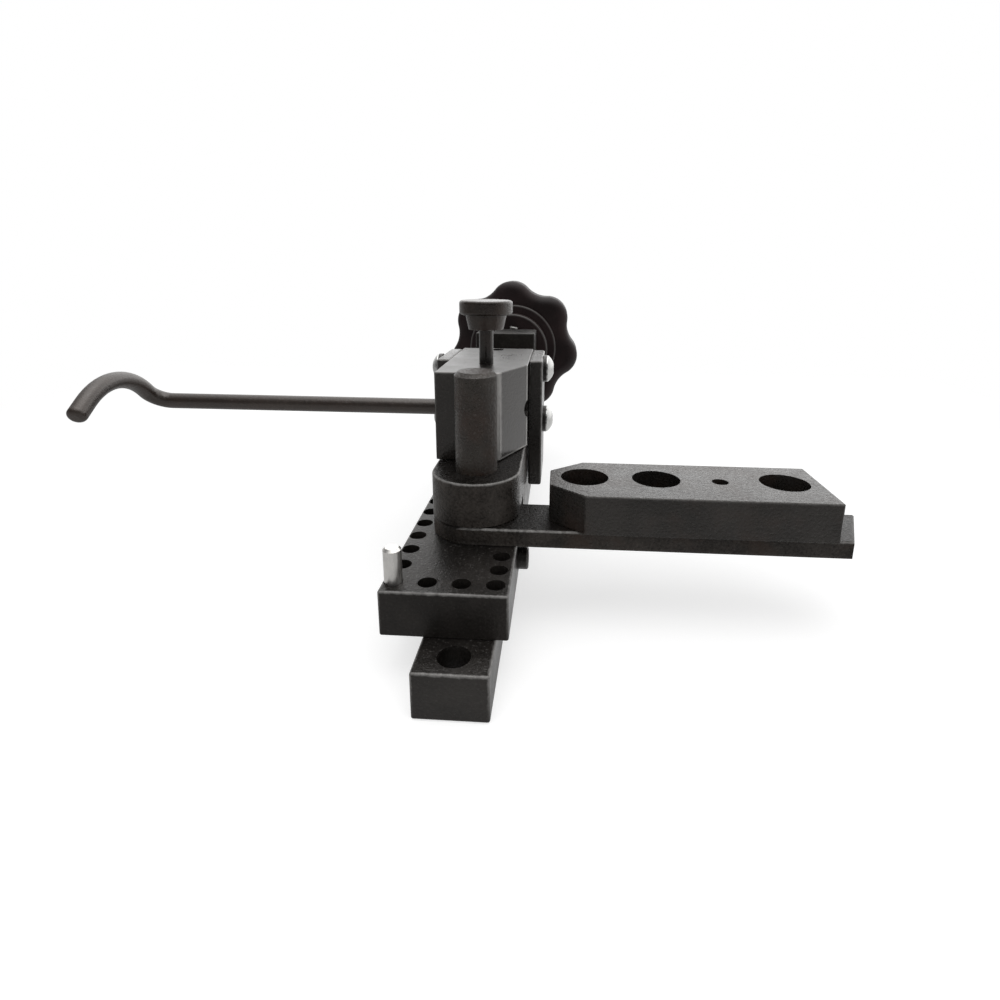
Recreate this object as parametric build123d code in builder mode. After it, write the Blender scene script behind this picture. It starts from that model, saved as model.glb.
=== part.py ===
from build123d import *
import os
from math import cos, radians, sin

os.makedirs("parts", exist_ok=True)

# Universal bender. A screw slide clamps the work beside a round post, and an arm that
# swings about the post bends it. Lengths are in millimetres and angles in degrees.
# The origin lies on the post's axis at the underside of the mounting bar.
# +X runs along the arm at rest, +Y away from the worker and +Z up.

# Fits between pieces
running_gap = 0.05
press_gap = 0.02
thread_gap = 0.1
bolt_gap = 0.25
head_gap = 0.5
edge_break = 0.3
cap_head_extra = 1.0

# Mounting bar under the base plate
bar_width = 24.0
bar_height = 16.0
bar_side_shift = 1.0
bar_overhang = 17.0
bar_hole = 10.5
bar_hole_inset = 8.5
bar_edge = 0.8

# Base plate with its peg holes and stop pin
plate_width = 42.0
plate_thickness = 16.0
plate_front = 50.0
plate_edge = 0.8
peg_diameter = 6.0
peg_gap = 0.2
peg_height = 12.2
peg_floor = 3.0
pin_chamfer = 0.8
peg_side_inset = 3.6
peg_front_inset = 6.6
peg_pitch = 11.2
front_peg_count = 4
left_peg_count = 7
right_peg_pitch = 9.6
right_peg_inset = 4.8
right_peg_count = 3

# Bed and forming post
bed_width = 34.0
bed_height = 24.0
bed_edge = 0.8
arm_slot_reach = 18.0
post_diameter = 16.0
post_height = 62.5
post_chamfer = 1.5
post_screw_thread = 5.0
post_screw_bite = 1.2
post_screw_length = 22.0
post_screw_seat = 1.0

# Swing arm and the block on it
arm_thickness = 6.5
arm_side_gap = 0.35
arm_eye_radius = 16.75
arm_back = 8.25
arm_reach = 136.3
arm_end_slant = 11.5
arm_edge = 0.7
bush_wall = 2.0
block_start = 28.5
block_length = 102.0
block_width = 37.2
block_height = 14.8
nose_width = 15.8
nose_length = 13.0
block_bore = 18.2
bore_line = 1.2
first_bore_inset = 13.3
second_bore_inset = 40.5
third_bore_inset = 88.5
tapped_hole_inset = 64.3
side_screw_insets = (26.9, 76.5)
side_screw_shift = 9.0
block_screw_thread = 6.0
block_screw_reach = 9.0

# Slide block and its cheeks
jaw_gap = 1.4
slide_length = 72.6
slide_height = 35.7
slide_ride_gap = 0.3
slide_guide_gap = 0.7
slide_back_travel = 31.0
slide_end_room = 3.0
taper_face_edge = 7.8
taper_length = 21.6
slide_ridge = 2.0
cheek_thickness = 6.0
cheek_front_inset = 32.6
cheek_length = 36.0
cheek_floor_gap = 2.0
cheek_edge = 1.0
cheek_screw_thread = 6.0
cheek_screw_inset = 15.5
cheek_screw_drop = 5.8
cheek_screw_spacing = 24.2
cheek_screw_reach = 11.0
round_head_diameter = 12.2
round_head_height = 3.4
round_head_land = 0.5
washer_diameter = 12.4
washer_thickness = 1.6

# Stop rod and the thumb screw that clamps it
rod_diameter = 6.8
rod_gap = 0.25
rod_slack = 0.6
rod_inset = 23.1
rod_rise = 16.4
rod_inner_end = 10.0
rod_reach = 150.0
rod_bend_radius = 7.5
rod_tip_rounding = 2.0
hook_bend_radius = 31.6
hook_toe_in = 6.9
hook_rise_angle = 42.1
hook_rise_length = 32.5
hook_fall_angle = 32.1
hook_fall_length = 32.1
thumb_thread = 6.0
thumb_tip_gap = 0.2
thumb_neck_height = 14.7
thumb_collar_height = 6.1
thumb_collar_diameter = 17.3
thumb_foot_diameter = 14.6
thumb_head_height = 5.8
thumb_head_diameter = 22.2
thumb_head_edge = 1.2
thumb_seat_depth = 8.5

# Nut plate and feed screw
nut_plate_width = 33.4
nut_plate_thickness = 24.0
nut_plate_height = 64.1
nut_plate_edge = 0.8
nut_screw_thread = 6.0
nut_screw_spacing = 18.0
nut_screw_reach = 14.0
feed_rise = 48.5
feed_diameter = 14.0
journal_diameter = 12.0
journal_length = 17.0
journal_end_gap = 0.5
groove_depth = 1.6
retainer_thread = 6.0
retainer_inset = 5.0
retainer_sink = 0.9

# Collar and star knob on the feed screw
collar_gap = 5.0
collar_diameter = 27.0
collar_length = 15.0
collar_screw_thread = 5.0
collar_screw_inset = 6.0
collar_screw_stand = 2.6
collar_screw_lean = 8.0
spigot_diameter = 20.0
spigot_length = 29.0
hub_front_radius = 23.0
hub_length = 12.0
knob_ring_radius = 28.3
knob_ring_height = 3.0
hub_edge = 1.2
knob_thickness = 28.0
knob_tip_radius = 43.1
knob_valley_radius = 37.5
knob_lobe_radius = 13.7
knob_lobe_count = 7
knob_first_lobe = 93.0
knob_edge = 6.0

# Screws from below that join bar, plate and bed
frame_screw_thread = 8.0
frame_head_sink = 0.8
bar_screw_inset = 22.0
bar_screw_reach = 12.0
bed_screw_first = 45.0
bed_screw_spacing = 50.0
bed_screw_reach = 18.0

# Heights
plate_bottom = bar_height
plate_top = plate_bottom + plate_thickness
bed_top = plate_top + bed_height
arm_bottom = plate_top + arm_side_gap
arm_top = arm_bottom + arm_thickness
arm_slot_height = arm_thickness + 2 * arm_side_gap
slide_bottom = bed_top + slide_ride_gap
slide_top = slide_bottom + slide_height
rod_height = slide_bottom + rod_rise
feed_height = plate_top + feed_rise

# Places along the bed, from the post's axis backwards
post_radius = post_diameter / 2
slide_front = post_radius + jaw_gap
slide_rear = slide_front + slide_length
nut_front = slide_rear + slide_back_travel + slide_end_room
nut_rear = nut_front + nut_plate_thickness
rod_back = slide_front + rod_inset
retainer_back = slide_rear - retainer_inset
cheek_front = slide_front + cheek_front_inset
cheek_screw_back = cheek_front + cheek_screw_inset
journal_front = slide_rear - journal_length
collar_front = nut_rear + collar_gap
collar_rear = collar_front + collar_length
knob_front = collar_rear + hub_length
knob_rear = knob_front + knob_thickness

# Places across the bed
bed_side = bed_width / 2
plate_right = bed_side
plate_left = plate_right - plate_width
slide_side = bed_side + slide_guide_gap
cheek_side = slide_side + cheek_thickness
bar_length = plate_front + nut_rear + 2 * bar_overhang
bar_front = -plate_front - bar_overhang
bar_rear = bar_front + bar_length

# Peg holes: a row along the front, one up the left side and a short one up the right
peg_hole_radius = peg_diameter / 2 + peg_gap
peg_hole_depth = plate_thickness - peg_floor
front_peg_line = -plate_front + peg_front_inset
left_peg_line = plate_left + peg_side_inset
right_peg_line = plate_right - right_peg_inset
pin_place = (left_peg_line, front_peg_line)
front_pegs = [(left_peg_line + peg_pitch * step, front_peg_line) for step in range(front_peg_count - 1)]
left_pegs = [(left_peg_line, front_peg_line + peg_pitch * step) for step in range(1, left_peg_count)]
right_pegs = [(right_peg_line, front_peg_line + right_peg_pitch * step) for step in range(right_peg_count)]

# Bolt and screw places
bar_hole_places = [(bar_side_shift, bar_front + bar_hole_inset), (bar_side_shift, bar_rear - bar_hole_inset)]
bar_screw_place = (bar_side_shift, -plate_front + bar_screw_inset)
bed_screw_places = [(bar_side_shift, bed_screw_first + bed_screw_spacing * step) for step in range(2)]
frame_head_seat = frame_head_sink + frame_screw_thread
post_screw_shift = post_radius + post_screw_thread / 2 - post_screw_bite
post_screw_height = plate_bottom + plate_thickness / 2
block_screw_places = [(block_start + tapped_hole_inset, 0)]
block_screw_places += [(block_start + inset, -side_screw_shift) for inset in side_screw_insets]
bore_insets = (first_bore_inset, second_bore_inset, third_bore_inset)
bore_places = [(block_start + inset, bore_line) for inset in bore_insets]
cheek_screw_heights = [slide_top - cheek_screw_drop - cheek_screw_spacing * step for step in range(2)]
cheek_screw_spots = [(cheek_screw_back, height) for height in cheek_screw_heights]
nut_screw_height = plate_top + bed_height / 2
nut_screw_spots = [(side * nut_screw_spacing / 2, nut_screw_height) for side in (-1, 1)]

# The feed axis, and a plane through it whose sketches read as place along Y and radius
feed_axis = Axis((0, 0, feed_height), (0, 1, 0))
feed_plane = Plane(origin=(0, 0, feed_height), x_dir=(0, 1, 0), z_dir=(1, 0, 0))


def cap_head_diameter(thread):
    """Standard cap heads are half as wide again as the thread, plus a small extra."""
    return 1.5 * thread + cap_head_extra


def cap_screw(thread, length):
    """Socket cap screw with its seat at Z 0, its head below it and its shank above."""
    head_chamfer = 0.1 * thread
    socket_radius = 0.4 * thread
    with BuildPart() as screw:
        with BuildSketch():
            Circle(cap_head_diameter(thread) / 2)
        extrude(amount=-thread)
        chamfer(screw.edges().group_by(Axis.Z)[0], head_chamfer)
        with BuildSketch():
            Circle(thread / 2)
        extrude(amount=length)
        chamfer(screw.edges().group_by(Axis.Z)[-1], head_chamfer)
        with BuildSketch(Plane.XY.offset(-thread)):
            RegularPolygon(socket_radius, 6, major_radius=False)
        extrude(amount=thread / 2, mode=Mode.SUBTRACT)
    return screw.part


def grub_screw(thread, length):
    """Headless socket screw standing on Z 0, with its socket at the top."""
    end_chamfer = 0.1 * thread
    socket_radius = 0.25 * thread
    with BuildPart() as screw:
        with BuildSketch():
            Circle(thread / 2)
        extrude(amount=length)
        chamfer(screw.edges().filter_by(GeomType.CIRCLE), end_chamfer)
        with BuildSketch(Plane.XY.offset(length)):
            RegularPolygon(socket_radius, 6, major_radius=False)
        extrude(amount=-length / 2, mode=Mode.SUBTRACT)
    return screw.part


# Mounting bar: a bolt hole at each end and counterbores for the screws from below
with BuildPart() as mounting_bar:
    with BuildSketch():
        with Locations((bar_side_shift, bar_front + bar_length / 2)):
            Rectangle(bar_width, bar_length)
    extrude(amount=bar_height)
    fillet(mounting_bar.edges(), bar_edge)
    with BuildSketch():
        with Locations(*bar_hole_places):
            Circle(bar_hole / 2)
        with Locations(bar_screw_place, *bed_screw_places):
            Circle(frame_screw_thread / 2 + bolt_gap)
    extrude(amount=bar_height, mode=Mode.SUBTRACT)
    with BuildSketch():
        with Locations(bar_screw_place, *bed_screw_places):
            Circle(cap_head_diameter(frame_screw_thread) / 2 + head_gap)
    extrude(amount=frame_head_seat, mode=Mode.SUBTRACT)
mounting_bar.part.label = "mounting_bar"
export_step(mounting_bar.part, "parts/mounting_bar.step")

# Base plate
with BuildPart() as base_plate:
    with BuildSketch(Plane.XY.offset(plate_bottom)):
        with Locations((plate_left, -plate_front)):
            Rectangle(plate_width, plate_front + nut_rear, align=(Align.MIN, Align.MIN))
    extrude(amount=plate_thickness)
    fillet(base_plate.edges(), plate_edge)
    with BuildSketch(Plane.XY.offset(plate_bottom)):
        Circle(post_radius + running_gap)
        with Locations(*bed_screw_places):
            Circle(frame_screw_thread / 2 + bolt_gap)
    extrude(amount=plate_thickness, mode=Mode.SUBTRACT)
    with BuildSketch(Plane.XY.offset(plate_bottom)):
        with Locations(bar_screw_place):
            Circle(frame_screw_thread / 2 + thread_gap)
    extrude(amount=bar_screw_reach + thread_gap, mode=Mode.SUBTRACT)
    with BuildSketch(Plane.XY.offset(plate_top)):
        with Locations(*front_pegs, *left_pegs, *right_pegs):
            Circle(peg_hole_radius)
    extrude(amount=-peg_hole_depth, mode=Mode.SUBTRACT)
    with BuildSketch(Plane.YZ.offset(plate_right)):
        with Locations((-post_screw_shift, post_screw_height)):
            Circle(post_screw_thread / 2 + thread_gap)
    extrude(amount=-post_screw_length, mode=Mode.SUBTRACT)
    with BuildSketch(Plane.YZ.offset(plate_right)):
        with Locations((-post_screw_shift, post_screw_height)):
            Circle(cap_head_diameter(post_screw_thread) / 2 + head_gap)
    extrude(amount=-post_screw_seat, mode=Mode.SUBTRACT)
base_plate.part.label = "base_plate"
export_step(base_plate.part, "parts/base_plate.step")

# Stop pin, loose in the front left peg hole
with BuildPart() as stop_pin:
    with BuildSketch(Plane.XY.offset(plate_top - peg_hole_depth)):
        with Locations(pin_place):
            Circle(peg_diameter / 2)
    extrude(amount=peg_hole_depth + peg_height)
    chamfer(stop_pin.edges().group_by(Axis.Z)[0], edge_break)
    chamfer(stop_pin.edges().group_by(Axis.Z)[-1], pin_chamfer)
stop_pin.part.label = "stop_pin"
export_step(stop_pin.part, "parts/stop_pin.step")

# Bed: round about the post in front, straight to the nut plate, with the arm's slot below
with BuildPart() as bed_block:
    with BuildSketch(Plane.XY.offset(plate_top)):
        Circle(bed_side)
        Rectangle(bed_width, nut_front, align=(Align.CENTER, Align.MIN))
    extrude(amount=bed_height)
    fillet(bed_block.edges().group_by(Axis.Z)[-1], bed_edge)
    with BuildSketch(Plane.XY.offset(plate_top)):
        with Locations((0, arm_slot_reach)):
            Rectangle(bed_width, bed_side + arm_slot_reach, align=(Align.CENTER, Align.MAX))
    extrude(amount=arm_slot_height, mode=Mode.SUBTRACT)
    with BuildSketch(Plane.XY.offset(plate_top)):
        Circle(post_radius + running_gap)
    extrude(amount=bed_height, mode=Mode.SUBTRACT)
    with BuildSketch(Plane.XY.offset(plate_top)):
        with Locations(*bed_screw_places):
            Circle(frame_screw_thread / 2 + thread_gap)
    extrude(amount=bed_screw_reach + thread_gap, mode=Mode.SUBTRACT)
    with BuildSketch(Plane.XZ.offset(-nut_front)):
        with Locations(*nut_screw_spots):
            Circle(nut_screw_thread / 2 + thread_gap)
    extrude(amount=nut_screw_reach + thread_gap, mode=Mode.SUBTRACT)
bed_block.part.label = "bed_block"
export_step(bed_block.part, "parts/bed_block.step")

# Forming post, standing on the bar, with a notch for its side screw
with BuildPart() as forming_post:
    with BuildSketch(Plane.XY.offset(plate_bottom)):
        Circle(post_radius)
    extrude(amount=plate_thickness + post_height)
    chamfer(forming_post.edges().group_by(Axis.Z)[-1], post_chamfer)
    with BuildSketch(Plane.YZ):
        with Locations((-post_screw_shift, post_screw_height)):
            Circle(post_screw_thread / 2 + thread_gap)
    extrude(amount=post_diameter, both=True, mode=Mode.SUBTRACT)
forming_post.part.label = "forming_post"
export_step(forming_post.part, "parts/forming_post.step")

# Side screw through the post's notch
post_screw_plane = Plane(
    origin=(plate_right - post_screw_seat, -post_screw_shift, post_screw_height),
    x_dir=(0, 1, 0),
    z_dir=(-1, 0, 0),
)
post_screw_body = cap_screw(post_screw_thread, post_screw_length - post_screw_seat - thread_gap)
with BuildPart() as post_screw:
    with Locations(post_screw_plane.location):
        add(post_screw_body)
post_screw.part.label = "post_screw"
export_step(post_screw.part, "parts/post_screw.step")

# Cap screws from below
bar_screw_body = cap_screw(frame_screw_thread, bar_height - frame_head_seat + bar_screw_reach)
with BuildPart() as bar_screw:
    with Locations((*bar_screw_place, frame_head_seat)):
        add(bar_screw_body)
bar_screw.part.label = "bar_screw"
export_step(bar_screw.part, "parts/bar_screw.step")

bed_screw_body = cap_screw(frame_screw_thread, plate_top - frame_head_seat + bed_screw_reach)
with BuildPart() as bed_screws:
    with Locations(*[(x, y, frame_head_seat) for x, y in bed_screw_places]):
        add(bed_screw_body)
bed_screws.part.label = "bed_screws"
export_step(bed_screws.part, "parts/bed_screws.step")

# Nut plate at the bed's rear end, with counterbored screws into the bed
nut_head_depth = nut_screw_thread + head_gap
with BuildPart() as nut_plate:
    with BuildSketch(Plane.XY.offset(plate_top)):
        with Locations((0, nut_front)):
            Rectangle(nut_plate_width, nut_plate_thickness, align=(Align.CENTER, Align.MIN))
    extrude(amount=nut_plate_height)
    fillet(nut_plate.edges(), nut_plate_edge)
    with BuildSketch(Plane.XZ.offset(-nut_rear)):
        with Locations((0, feed_height)):
            Circle(feed_diameter / 2 + running_gap)
        with Locations(*nut_screw_spots):
            Circle(nut_screw_thread / 2 + bolt_gap)
    extrude(amount=nut_plate_thickness, mode=Mode.SUBTRACT)
    with BuildSketch(Plane.XZ.offset(-nut_rear)):
        with Locations(*nut_screw_spots):
            Circle(cap_head_diameter(nut_screw_thread) / 2 + head_gap)
    extrude(amount=nut_head_depth, mode=Mode.SUBTRACT)
nut_plate.part.label = "nut_plate"
export_step(nut_plate.part, "parts/nut_plate.step")

nut_screw_body = cap_screw(nut_screw_thread, nut_plate_thickness - nut_head_depth + nut_screw_reach)
with BuildPart() as nut_plate_screws:
    with Locations(Plane.XZ.offset(nut_head_depth - nut_rear)):
        with Locations(*nut_screw_spots):
            add(nut_screw_body)
nut_plate_screws.part.label = "nut_plate_screws"
export_step(nut_plate_screws.part, "parts/nut_plate_screws.step")

# Swing arm: an eye about the post and a flat bar to one side of its centre
bush_radius = post_radius + running_gap + bush_wall
countersink_radius = block_screw_thread + bolt_gap
with BuildPart() as swing_arm:
    with BuildSketch(Plane.XY.offset(arm_bottom)):
        Circle(arm_eye_radius)
        with BuildLine():
            Polyline(
                (0, -arm_eye_radius),
                (arm_reach, -arm_eye_radius),
                (arm_reach + arm_end_slant, arm_back),
                (0, arm_back),
                close=True,
            )
        make_face()
    extrude(amount=arm_thickness)
    chamfer(swing_arm.edges().group_by(Axis.Z)[-1], arm_edge)
    with BuildSketch(Plane.XY.offset(arm_bottom)):
        Circle(bush_radius + press_gap)
        with Locations(*block_screw_places):
            Circle(block_screw_thread / 2 + bolt_gap)
    extrude(amount=arm_thickness, mode=Mode.SUBTRACT)
    with BuildSketch(Plane.XY.offset(arm_bottom)):
        with Locations(*block_screw_places):
            Circle(countersink_radius)
    extrude(amount=block_screw_thread / 2, taper=45, mode=Mode.SUBTRACT)
swing_arm.part.label = "swing_arm"
export_step(swing_arm.part, "parts/swing_arm.step")

# Bearing bush pressed into the arm's eye
with BuildPart() as arm_bush:
    with BuildSketch(Plane.XY.offset(arm_bottom)):
        Circle(bush_radius)
        Circle(post_radius + running_gap, mode=Mode.SUBTRACT)
    extrude(amount=arm_thickness)
arm_bush.part.label = "arm_bush"
export_step(arm_bush.part, "parts/arm_bush.step")

# Block on the arm, narrowed towards the post, with bores for bending pins
block_half = block_width / 2
nose_half = nose_width / 2
block_end = block_start + block_length
with BuildPart() as arm_block:
    with BuildSketch(Plane.XY.offset(arm_top)):
        with BuildLine():
            Polyline(
                (block_start, -nose_half),
                (block_start + nose_length, -block_half),
                (block_end, -block_half),
                (block_end, block_half),
                (block_start + nose_length, block_half),
                (block_start, nose_half),
                close=True,
            )
        make_face()
    extrude(amount=block_height)
    chamfer(arm_block.edges(), edge_break)
    with BuildSketch(Plane.XY.offset(arm_top)):
        with Locations(*bore_places):
            Circle(block_bore / 2)
        with Locations(block_screw_places[0]):
            Circle(block_screw_thread / 2 + thread_gap)
    extrude(amount=block_height, mode=Mode.SUBTRACT)
    with BuildSketch(Plane.XY.offset(arm_top)):
        with Locations(*block_screw_places[1:]):
            Circle(block_screw_thread / 2 + thread_gap)
    extrude(amount=block_screw_reach + thread_gap, mode=Mode.SUBTRACT)
arm_block.part.label = "arm_block"
export_step(arm_block.part, "parts/arm_block.step")

# Countersunk screws up through the arm into the block
with BuildPart() as block_screw_body:
    with BuildSketch():
        Circle(block_screw_thread)
    extrude(amount=block_screw_thread / 2, taper=45)
    with BuildSketch():
        Circle(block_screw_thread / 2)
    extrude(amount=arm_thickness - bolt_gap + block_screw_reach)
    with BuildSketch():
        RegularPolygon(block_screw_thread / 3, 6, major_radius=False)
    extrude(amount=block_screw_thread / 2, mode=Mode.SUBTRACT)
with BuildPart() as arm_block_screws:
    with Locations(*[(x, y, arm_bottom + bolt_gap) for x, y in block_screw_places]):
        add(block_screw_body.part)
arm_block_screws.part.label = "arm_block_screws"
export_step(arm_block_screws.part, "parts/arm_block_screws.step")

# Slide block: clamping face in front, tapered on the right so that the arm can come round
journal_radius = journal_diameter / 2
retainer_tip = feed_height + journal_radius - groove_depth + thread_gap
with BuildPart() as slide_block:
    with BuildSketch(Plane.XY.offset(slide_bottom)) as slide_outline:
        with BuildLine():
            Polyline(
                (-slide_side, slide_front),
                (taper_face_edge, slide_front),
                (slide_side, slide_front + taper_length),
                (slide_side, slide_rear),
                (-slide_side, slide_rear),
                close=True,
            )
        make_face()
        fillet(slide_outline.vertices().sort_by_distance((taper_face_edge, slide_front))[0], slide_ridge)
    extrude(amount=slide_height)
    upright_edges = slide_block.edges().filter_by(Axis.Z)
    level_edges = slide_block.edges().filter_by(Axis.Z, reverse=True)
    sharp_corners = upright_edges.sort_by_distance((taper_face_edge, slide_front, slide_bottom))[2:]
    chamfer(level_edges + sharp_corners, edge_break)
    with BuildSketch(Plane.YZ):
        with Locations((rod_back, rod_height + rod_slack - rod_gap)):
            Circle(rod_diameter / 2 + rod_slack)
    extrude(amount=slide_side, both=True, mode=Mode.SUBTRACT)
    with BuildSketch(Plane.XY.offset(slide_top)):
        with Locations((0, rod_back)):
            Circle(thumb_thread / 2 + thread_gap)
    extrude(amount=rod_height - slide_top, mode=Mode.SUBTRACT)
    with BuildSketch(Plane.XZ.offset(-slide_rear)):
        with Locations((0, feed_height)):
            Circle(journal_radius + running_gap)
    extrude(amount=journal_length + journal_end_gap, mode=Mode.SUBTRACT)
    with BuildSketch(Plane.XY.offset(slide_top)):
        with Locations((0, retainer_back)):
            Circle(retainer_thread / 2 + thread_gap)
    extrude(amount=feed_height - slide_top, mode=Mode.SUBTRACT)
    for side_plane in (Plane.YZ.offset(slide_side), Plane.YZ.offset(-slide_side)):
        depth = cheek_screw_reach + thread_gap
        with BuildSketch(side_plane):
            with Locations(*cheek_screw_spots):
                Circle(cheek_screw_thread / 2 + thread_gap)
        extrude(amount=-depth if side_plane.origin.X > 0 else depth, mode=Mode.SUBTRACT)
slide_block.part.label = "slide_block"
export_step(slide_block.part, "parts/slide_block.step")

# Cheeks on the slide block's sides, reaching down past the bed
with BuildPart() as right_cheek:
    with BuildSketch(Plane.YZ.offset(slide_side)):
        with Locations((cheek_front, plate_top + cheek_floor_gap)):
            Rectangle(cheek_length, slide_top - plate_top - cheek_floor_gap, align=(Align.MIN, Align.MIN))
    extrude(amount=cheek_thickness)
    fillet(right_cheek.edges(), cheek_edge)
    with BuildSketch(Plane.YZ.offset(slide_side)):
        with Locations(*cheek_screw_spots):
            Circle(cheek_screw_thread / 2 + bolt_gap)
    extrude(amount=cheek_thickness, mode=Mode.SUBTRACT)
right_cheek.part.label = "right_cheek"
export_step(right_cheek.part, "parts/right_cheek.step")

with BuildPart() as left_cheek:
    mirror(right_cheek.part, about=Plane.YZ)
left_cheek.part.label = "left_cheek"
export_step(left_cheek.part, "parts/left_cheek.step")

# Washers and round head screws, two on each cheek
with BuildPart() as right_washers:
    with BuildSketch(Plane.YZ.offset(cheek_side)):
        with Locations(*cheek_screw_spots):
            Circle(washer_diameter / 2)
            Circle(cheek_screw_thread / 2 + bolt_gap, mode=Mode.SUBTRACT)
    extrude(amount=washer_thickness)
with BuildPart() as cheek_washers:
    add(right_washers.part)
    mirror(right_washers.part, about=Plane.YZ)
cheek_washers.part.label = "cheek_washers"
export_step(cheek_washers.part, "parts/cheek_washers.step")

head_seat = cheek_side + washer_thickness
head_radius = round_head_diameter / 2
with BuildPart() as round_head_screw:
    with BuildSketch(Plane.XZ):
        with BuildLine():
            Polyline((0, round_head_height), (0, 0), (head_radius, 0), (head_radius, round_head_land))
            TangentArc((0, round_head_height), (head_radius, round_head_land), tangent=(1, 0))
        make_face()
    revolve(axis=Axis.Z)
    with BuildSketch():
        Circle(cheek_screw_thread / 2)
    extrude(amount=slide_side - cheek_screw_reach - head_seat)
    with BuildSketch(Plane.XY.offset(round_head_height)):
        RegularPolygon(cheek_screw_thread / 3, 6, major_radius=False)
    extrude(amount=-round_head_height / 2, mode=Mode.SUBTRACT)
with BuildPart() as right_screws:
    with Locations(Plane.YZ.offset(head_seat)):
        with Locations(*cheek_screw_spots):
            add(round_head_screw.part)
with BuildPart() as cheek_screws:
    add(right_screws.part)
    mirror(right_screws.part, about=Plane.YZ)
cheek_screws.part.label = "cheek_screws"
export_step(cheek_screws.part, "parts/cheek_screws.step")

# Feed screw: a grooved journal in the slide block, then the thread up to the knob
groove_half = retainer_thread / 2 + bolt_gap
feed_radius = feed_diameter / 2
feed_end = collar_rear + spigot_length
with BuildPart() as feed_screw:
    with BuildSketch(feed_plane):
        with BuildLine():
            Polyline(
                (journal_front, 0),
                (journal_front, journal_radius - edge_break),
                (journal_front + edge_break, journal_radius),
                (retainer_back - groove_half, journal_radius),
                (retainer_back - groove_half, journal_radius - groove_depth),
                (retainer_back + groove_half, journal_radius - groove_depth),
                (retainer_back + groove_half, journal_radius),
                (slide_rear + slide_ride_gap, journal_radius),
                (slide_rear + slide_ride_gap, feed_radius - edge_break),
                (slide_rear + slide_ride_gap + edge_break, feed_radius),
                (feed_end, feed_radius),
                (feed_end, 0),
                close=True,
            )
        make_face()
    revolve(axis=feed_axis)
feed_screw.part.label = "feed_screw"
export_step(feed_screw.part, "parts/feed_screw.step")

# Grub screw in the journal's groove
retainer_body = grub_screw(retainer_thread, slide_top - retainer_sink - retainer_tip)
with BuildPart() as feed_retainer:
    with Locations((0, retainer_back, retainer_tip)):
        add(retainer_body)
feed_retainer.part.label = "feed_retainer"
export_step(feed_retainer.part, "parts/feed_retainer.step")

# Knob collar with a spigot into the knob, and the set screw standing out of it
collar_radius = collar_diameter / 2
spigot_radius = spigot_diameter / 2
collar_screw_lift = Vector(sin(radians(collar_screw_lean)), 0, cos(radians(collar_screw_lean)))
collar_screw_seat = Vector(0, collar_front + collar_screw_inset, feed_height)
with BuildPart() as knob_collar:
    with BuildSketch(feed_plane):
        with BuildLine():
            Polyline(
                (collar_front, feed_radius + press_gap),
                (collar_front, collar_radius - edge_break),
                (collar_front + edge_break, collar_radius),
                (collar_rear, collar_radius),
                (collar_rear, spigot_radius),
                (feed_end, spigot_radius),
                (feed_end, feed_radius + press_gap),
                close=True,
            )
        make_face()
    revolve(axis=feed_axis)
    with BuildSketch(Plane(origin=collar_screw_seat, z_dir=collar_screw_lift)):
        Circle(collar_screw_thread / 2 + thread_gap)
    extrude(amount=collar_diameter, mode=Mode.SUBTRACT)
knob_collar.part.label = "knob_collar"
export_step(knob_collar.part, "parts/knob_collar.step")

collar_screw_foot = feed_radius + thread_gap
collar_screw_body = grub_screw(collar_screw_thread, collar_radius + collar_screw_stand - collar_screw_foot)
collar_screw_origin = collar_screw_seat + collar_screw_lift * collar_screw_foot
collar_screw_plane = Plane(origin=collar_screw_origin, z_dir=collar_screw_lift)
with BuildPart() as collar_screw:
    with Locations(collar_screw_plane.location):
        add(collar_screw_body)
collar_screw.part.label = "collar_screw"
export_step(collar_screw.part, "parts/collar_screw.step")

# Star knob: lobes and valleys are arcs that meet smoothly, with a stepped round hub in front
half_pitch = 180 / knob_lobe_count
lobe_centre = knob_tip_radius - knob_lobe_radius
lobe_term = lobe_centre**2 + knob_valley_radius**2 - knob_lobe_radius**2
lobe_term -= 2 * lobe_centre * knob_valley_radius * cos(radians(half_pitch))
valley_term = knob_lobe_radius - knob_valley_radius + lobe_centre * cos(radians(half_pitch))
valley_arc_radius = lobe_term / (2 * valley_term)
valley_centre = knob_valley_radius + valley_arc_radius
join_share = knob_lobe_radius / (knob_lobe_radius + valley_arc_radius)


def polar(radius, angle):
    """A point of the knob's outline plane, given by radius and angle."""
    return Vector(radius * cos(radians(angle)), radius * sin(radians(angle)))


def lobe_join(lobe_angle, side):
    """Where a lobe's arc meets the valley on one side of it."""
    lobe = polar(lobe_centre, lobe_angle)
    valley = polar(valley_centre, lobe_angle + side * half_pitch)
    return lobe + (valley - lobe) * join_share


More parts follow.
